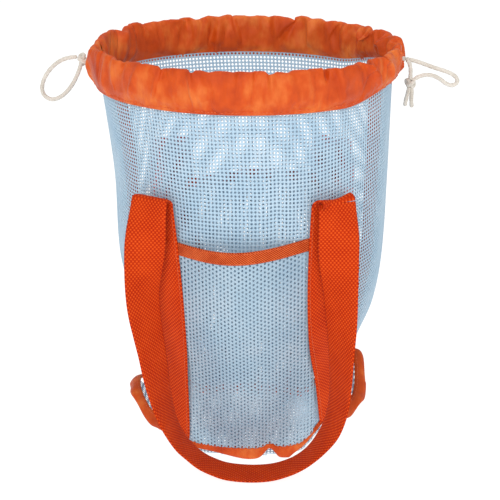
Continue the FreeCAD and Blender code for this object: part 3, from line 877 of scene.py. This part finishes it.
def fold_relief(angle, level, side):
    """Outward reach of the gathers that run up from the seam, each leaning its own way."""
    source = np.random.default_rng(CASING_FOLD_SEED + side)
    reach = (CASING_HALF_WIDTH + CASING_HALF_DEPTH) / 2.0
    relief = 0.0 * angle
    for middle in np.linspace(0.0, math.pi * reach, CASING_FOLDS):
        middle = middle + source.normal(0.0, 0.003)
        width = source.uniform(0.0024, 0.0056)
        lean = source.normal(0.0, 0.0055)
        size = source.normal(0.0, 1.0)
        peak = source.uniform(-0.4, 0.9)
        offset = (angle * reach - middle - lean * level) / width
        swell = 0.45 + 0.55 * np.exp(-((level - peak) / 0.9) ** 2)
        relief = relief + size * np.exp(-offset ** 2) * swell
    crowded = smoothstep(1.9, 0.5, angle) if side == BACK else np.abs(np.cos(angle)) ** 3 * 0.5
    shallow, deep = CASING_FOLD_DEPTH
    return relief * (shallow + (deep - shallow) * crowded)


def channel_middle(angle, side):
    """Middle of a casing's channel, at the height 0."""
    x = (CASING_HALF_WIDTH - CASING_THICKNESS / 2.0) * np.cos(angle)
    y = side * (CASING_HALF_DEPTH - CASING_THICKNESS / 2.0) * np.sin(angle)
    return xyz(x, y, 0.0)


def channel_tube(side):
    """Points of a casing as a creased tube, row by row from its right end, each from its seam round."""
    gap = CASING_HALF_GAP / CASING_HALF_DEPTH
    angle = np.linspace(gap, math.pi - gap, CASING_COLUMNS + 1)
    turn = np.arange(CASING_RING) * 2.0 * math.pi / CASING_RING - math.pi / 2.0
    level = np.sin(turn)
    bulk = np.sign(np.cos(turn)) * np.abs(np.cos(turn)) ** 0.75
    bulk = bulk * (0.25 + 0.75 * smoothstep(-1.0, -0.4, level))
    a, level = np.meshgrid(angle, level, indexing="ij")
    folds = fold_relief(a, level, side) * smoothstep(-1.0, -0.3, level)
    radial = CASING_SLIMMING * bulk * CASING_THICKNESS / 2.0 + folds
    foot = casing_foot(CASING_HALF_WIDTH * np.cos(a))
    x = (CASING_HALF_WIDTH - CASING_THICKNESS / 2.0 + radial) * np.cos(a)
    y = side * (CASING_HALF_DEPTH - CASING_THICKNESS / 2.0 + radial) * np.sin(a)
    z = foot + (CASING_TOP - foot) * (1.0 + level) / 2.0
    z = z - 0.5 * np.abs(folds) * smoothstep(0.2, 1.0, level)
    return xyz(x, y, z), a, level


def evaluated_mesh(piece):
    """Mesh of a piece as its modifiers leave it."""
    return bpy.data.meshes.new_from_object(piece.evaluated_get(bpy.context.evaluated_depsgraph_get()))


def gather(casing, level, angle, side):
    """Let a casing's spare cloth buckle under a little pressure, held along its seam with the net."""
    seam = casing.vertex_groups.new(name="seam")
    seam.add(np.nonzero(level < -0.93)[0].tolist(), 1.0, "REPLACE")
    spare = casing.vertex_groups.new(name="spare")
    fullness = smoothstep(1.75, 0.55, angle) if side == BACK else 0.35 + 0.65 * np.cos(angle) ** 2
    for index, share in enumerate(fullness):
        spare.add([index], float(share), "REPLACE")
    cloth = casing.modifiers.new("gather", "CLOTH")
    cloth.collision_settings.use_collision = False
    settings = cloth.settings
    for key, value in CASING_CLOTH.items():
        setattr(settings, key, value)
    settings.vertex_group_mass = "seam"
    settings.vertex_group_shrink = "spare"
    settings.effector_weights.gravity = 0.0
    scene = bpy.context.scene
    for frame_number in range(1, CASING_FRAMES + 1):
        scene.frame_set(frame_number)
    settled = evaluated_mesh(casing)
    places = np.array([vertex.co for vertex in settled.vertices])
    casing.modifiers.clear()
    casing.vertex_groups.clear()
    bpy.data.meshes.remove(settled)
    scene.frame_set(1)
    return places


def local_part(moved):
    """A casing's movement without its slow drift along the run, so that the band doesn't lean."""
    half = CASING_DRIFT_COLUMNS // 2
    padded = np.pad(moved, ((half, half), (0, 0), (0, 0)), mode="edge")
    total = np.cumsum(np.concatenate([np.zeros((1,) + moved.shape[1:]), padded]), axis=0)
    drift = (total[2 * half + 1:] - total[:-2 * half - 1]) / (2 * half + 1)
    return moved - drift


def make_casing(side, material, thread_look):
    word = SIDE_WORD[side]
    start, a, level = channel_tube(side)
    rows, ring = a.shape
    start = start.reshape(-1, 3)
    level = level.reshape(-1)
    angle = a.reshape(-1)
    run = a * (CASING_HALF_WIDTH + CASING_HALF_DEPTH) / 2.0
    round_run = np.tile(np.arange(ring) * 2.0 * (CASING_TOP - CASING_BOTTOM) / ring, (rows, 1))
    uv = np.stack([run, round_run], axis=-1).reshape(-1, 2)
    casing = add_mesh(f"{word}_gathered_casing", start, grid_faces(rows, ring), uv)
    places = gather(casing, level, angle, side)
    moved = local_part((places - start).reshape(rows, ring, 3)).reshape(-1, 3)
    distance = np.linalg.norm(moved, axis=1, keepdims=True)
    moved = moved * np.minimum(1.0, CASING_TRAVEL / np.maximum(distance, 1e-9))
    places = start + moved
    outwards = xyz(np.cos(angle), side * np.sin(angle), 0.0)
    depth = np.sum((places - channel_middle(angle, side)) * outwards, axis=1)
    outer = np.tile(np.arange(ring) < ring // 2, rows)
    short = np.where(outer, np.maximum(CORD_ROOM - depth, 0.0), -np.maximum(CORD_ROOM + depth, 0.0))
    places = places + outwards * (short * smoothstep(0.75, 0.55, np.abs(level)))[:, None]
    casing.data.vertices.foreach_set("co", places.ravel())
    casing.data.update()
    smooth = casing.modifiers.new("smooth", "SUBSURF")
    smooth.levels = 1
    cloth = casing.modifiers.new("cloth", "SOLIDIFY")
    cloth.thickness = CASING_FABRIC
    cloth.offset = -1.0
    finished = evaluated_mesh(casing)
    casing.modifiers.clear()
    casing.data = finished
    dress(casing, material, [f"{word}_casing"])
    grid = places.reshape(rows, ring, 3)
    seam = grid[:, SEAM_STITCH_RING] * 0.5 + grid[:, SEAM_STITCH_RING + 1] * 0.5
    outwards = unit(xyz(np.cos(a[:, 0]), side * np.sin(a[:, 0]), 0.0))
    outwards = outwards[2:-2]
    stitches(f"{word}_casing_stitches", [(seam[2:-2] + outwards * 0.0002, outwards)], thread_look)


# ---- Base rim and seam tapes ----

def make_base_rim(material, thread_look):
    around = 420
    ring = 16
    angle = np.linspace(0.0, 2.0 * math.pi, around, endpoint=False)
    turn = np.arange(ring) * 2.0 * math.pi / ring
    a, t = np.meshgrid(angle, turn, indexing="ij")
    run = a * 0.1
    foot_y = RIM_CENTRE_Y + RIM_HALF_DEPTH * np.sin(a)
    lower, seam = rim_edges(RIM_HALF_WIDTH * np.cos(a), foot_y)
    sideways = np.abs(np.cos(a)) ** 3
    height = (1.0 + np.sin(t)) / 2.0
    up = lower + (seam + 0.001 - lower) * height
    flare = (0.0020 + 0.0045 * sideways) * (1.0 - height) - FOOT_PINCH * sideways * height
    flare = flare + 0.0012 * ripple(run, 0.0 * run, 0.014, 91) * (1.0 - height)
    out = RIM_FABRIC * np.cos(t) + flare
    x = (RIM_HALF_WIDTH - 0.003 + out) * np.cos(a)
    y = RIM_CENTRE_Y + (RIM_HALF_DEPTH - 0.003 + out) * np.sin(a)
    z = up + lifted(x, y)
    points = xyz(x, y, np.maximum(z, 0.0))
    uv = np.stack([run, up], axis=-1).reshape(-1, 2)
    rim = add_mesh("base_rim", points.reshape(-1, 3), endless_faces(around, ring), uv)
    dress(rim, material, ["base_rim_binding"])
    outwards = xyz(np.cos(angle), np.sin(angle), 0.0)
    seam_line = points[:, 2] + outwards * STITCH_RADIUS * 0.5
    stitches("base_rim_stitches", [(seam_line, outwards)], thread_look)


def make_seam_tape(hand, material):
    word = HAND_WORD[hand]
    z = np.linspace(SEAM_BOTTOM, CASING_BOTTOM + 0.002, 160)
    half_width, _, _, centre_x = wall_size(z)
    inset = NET_SKIN + TURNED_IN - 0.001 + SEAM_TAPE_WIDTH / 2.0
    waver = 0.0006 * ripple(z, 0.0 * z, 0.03, 51 + hand)
    line = xyz(centre_x + hand * (half_width - inset), waver, z)
    across = np.tile([float(hand), 0.0, 0.0], (len(z), 1))
    line, across = spaced_line(line, TAPE_STEP, 4, across)
    tape = ribbon(f"{word}_seam_binding", line, across, SEAM_TAPE_WIDTH, SEAM_TAPE_THICKNESS, 10)
    dress(tape, material, [f"{word}_seam_tape"])


# ---- Cords ----

def smooth_route(route):
    """Points read along the smooth spline of a given route."""
    curve = bpy.data.curves.new("route", "CURVE")
    curve.dimensions = "3D"
    curve.resolution_u = 24
    spline = curve.splines.new("NURBS")
    spline.points.add(len(route) - 1)
    for point, place in zip(spline.points, route):
        point.co = (*place, 1.0)
    spline.order_u = 3
    spline.use_endpoint_u = True
    guide = bpy.data.objects.new("route", curve)
    bpy.context.scene.collection.objects.link(guide)
    mesh = bpy.data.meshes.new_from_object(guide)
    points = np.array([vertex.co for vertex in mesh.vertices])
    bpy.data.meshes.remove(mesh)
    bpy.data.objects.remove(guide)
    bpy.data.curves.remove(curve)
    return points


def carried_frames(line):
    """Directions square to a line that turn with it and don't twist."""
    tangent = tangents(line)
    first = np.cross(tangent[0], [0.0, 1.0, 0.0])
    if np.linalg.norm(first) < 0.1:
        first = np.cross(tangent[0], [1.0, 0.0, 0.0])
    sides = [unit(first)]
    for direction in tangent[1:]:
        side = sides[-1] - direction * np.dot(sides[-1], direction)
        sides.append(unit(side))
    sides = np.array(sides)
    return sides, np.cross(tangent, sides)


def braided_tube(name, path, diameter=CORD_DIAMETER, closed=False, step=0.0005):
    """Round cord of crossing yarns along a path, its ends rounded off."""
    ring = 20
    line, run = spaced_line(path, step)
    if closed:
        line = line[:-1]
        run = run[:-1]
    side, lift = carried_frames(line)
    angle = np.arange(ring) * 2.0 * math.pi / ring
    r, a = np.meshgrid(run, angle, indexing="ij")
    pitch = 2.0 * math.pi / (1.55 * diameter)
    yarns = np.maximum(np.cos(4.0 * a + pitch * r), np.cos(4.0 * a - pitch * r))
    radius = diameter / 2.0 * (0.93 + 0.09 * yarns)
    if not closed:
        end = np.minimum(run, run[-1] - run)
        radius = radius * np.sqrt(np.clip(end / (0.35 * diameter), 0.02, 1.0))[:, None]
    spokes = side[:, None, :] * np.cos(angle)[None, :, None]
    spokes = spokes + lift[:, None, :] * np.sin(angle)[None, :, None]
    points = line[:, None, :] + spokes * radius[..., None]
    if closed:
        shift = int(round(seam_turn(side[-1], lift[-1], side[0]) * ring / (2.0 * math.pi)))
        faces = endless_faces(len(line), ring, shift)
    else:
        faces = capped_faces(len(line), ring)
    return add_mesh(name, points.reshape(-1, 3), faces)


def seam_turn(side, lift, other):
    """Angle of one direction as seen in the frame of another place on the line."""
    return -math.atan2(float(np.dot(other, lift)), float(np.dot(other, side)))


def knot_path(centre, size, tilt):
    """Path of a pulled-tight overhand knot, as a closed trefoil."""
    t = np.linspace(0.0, 2.0 * math.pi, 240)
    x = np.sin(t) + 2.0 * np.sin(2.0 * t)
    y = np.cos(t) - 2.0 * np.cos(2.0 * t)
    z = -1.35 * np.sin(3.0 * t)
    points = xyz(x, y, z) * size / 3.0
    turn = math.radians(tilt)
    c, s = math.cos(turn), math.sin(turn)
    points = points @ np.array([[c, 0.0, -s], [0.0, 1.0, 0.0], [s, 0.0, c]])
    return points + np.array(centre)


def make_left_cord(material):
    loop_path = smooth_route(LEFT_LOOP_ROUTE)
    loop = braided_tube("left_cord_pull_loop", loop_path)
    dress(loop, material, ["left_cord_loop"], "left_cord_pull")
    knot_line = knot_path(LEFT_KNOT, LEFT_KNOT_SIZE, LEFT_KNOT_TILT)
    knot = braided_tube("left_overhand_knot", knot_line, closed=True)
    dress(knot, material, ["left_cord_knot"], "left_cord_pull")
    for word, route in zip(("back", "front"), LEFT_STRAND_ROUTES):
        strand = braided_tube(f"left_{word}_strand", smooth_route(route))
        dress(strand, material, body=None)
        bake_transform(strand)


def make_right_cord(material):
    loop_path = smooth_route(RIGHT_LOOP_ROUTE)
    loop = braided_tube("right_cord_pull_loop", loop_path)
    dress(loop, material, ["right_cord_loop"], "right_cord_pull")
    knot_line = knot_path(RIGHT_KNOT, RIGHT_KNOT_SIZE, RIGHT_KNOT_TILT)
    knot = braided_tube("right_overhand_knot", knot_line, closed=True)
    dress(knot, material, ["right_cord_knot"], "right_cord_pull")
    for count, route in enumerate(RIGHT_TAIL_ROUTES, 1):
        tail = braided_tube(f"right_cord_tail_{count}", smooth_route(route))
        dress(tail, material, ["right_cord_tails"], "right_cord_pull")
    strands = {"right_back_strand": RIGHT_STRAND_ROUTE, "right_front_strand": RIGHT_DROP_ROUTE}
    for name, route in strands.items():
        strand = braided_tube(name, smooth_route(route))
        dress(strand, material, ["right_cord_drop"], body=None)
        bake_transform(strand)


# ---- Stage ----

def add_area_light(name, place, target, size, power):
    data = bpy.data.lights.new(name, "AREA")
    data.size = size
    data.energy = power
    light = bpy.data.objects.new(name, data)
    light.location = place
    light.rotation_euler = (Vector(target) - Vector(place)).to_track_quat("-Z", "Y").to_euler()
    bpy.context.scene.collection.objects.link(light)


def make_stage():
    corners = [(x * FLOOR_REACH, y * FLOOR_REACH, 0.0) for x, y in ((-1, -1), (1, -1), (1, 1), (-1, 1))]
    floor = add_mesh("floor", corners, [(0, 1, 2, 3)], smooth=False)
    floor.location.z = -0.0002
    floor.data.materials.append(floor_material())
    world = bpy.data.worlds.new("studio")
    world.use_nodes = True
    world.node_tree.nodes["Background"].inputs[0].default_value = (1.0, 1.0, 1.0, 1.0)
    world.node_tree.nodes["Background"].inputs[1].default_value = WORLD_LIGHT
    bpy.context.scene.world = world
    for name, light in LIGHTS.items():
        add_area_light(name, *light)
    bpy.context.scene.view_settings.view_transform = "Standard"


def make_camera():
    data = bpy.data.cameras.new("camera")
    data.lens = LENS
    data.sensor_width = 36.0
    camera = bpy.data.objects.new("camera", data)
    camera.location = CAMERA_PLACE
    camera.rotation_euler = [math.radians(angle) for angle in CAMERA_TURN]
    bpy.context.scene.collection.objects.link(camera)
    bpy.context.scene.camera = camera


def finish_cad_nodes(cord, thread):
    """Materials for the CAD pieces that show as they are."""
    looks = {"left_drawcord": cord, "right_drawcord": cord, "strap_bar_tacks": thread}
    for node, material in looks.items():
        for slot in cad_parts[node].material_slots:
            slot.material = material


def main():
    make_camera()
    make_stage()
    nylon = nylon_material()
    webbing_look = webbing_material()
    binding = binding_material()
    net = net_material("blue_net_yarn", 1.0)
    # The pocket net is a darker copy of the net yarn: painted shade.
    pocket_net = net_material("blue_pocket_yarn_painted_shade", POCKET_PAINTED_SHADE)
    thread = thread_material()
    cord = cord_material()
    make_left_cord(cord)
    make_right_cord(cord)
    for side in (FRONT, BACK):
        make_wall_nets(side, net)
        make_pocket(side, pocket_net, binding, thread)
        make_straps_and_handle(side, webbing_look, thread)
        make_casing(side, nylon, thread)
    make_base_rim(nylon, thread)
    make_base_net(net)
    for hand in (LEFT, RIGHT):
        make_seam_tape(hand, binding)
    finish_cad_nodes(cord, thread)


main()
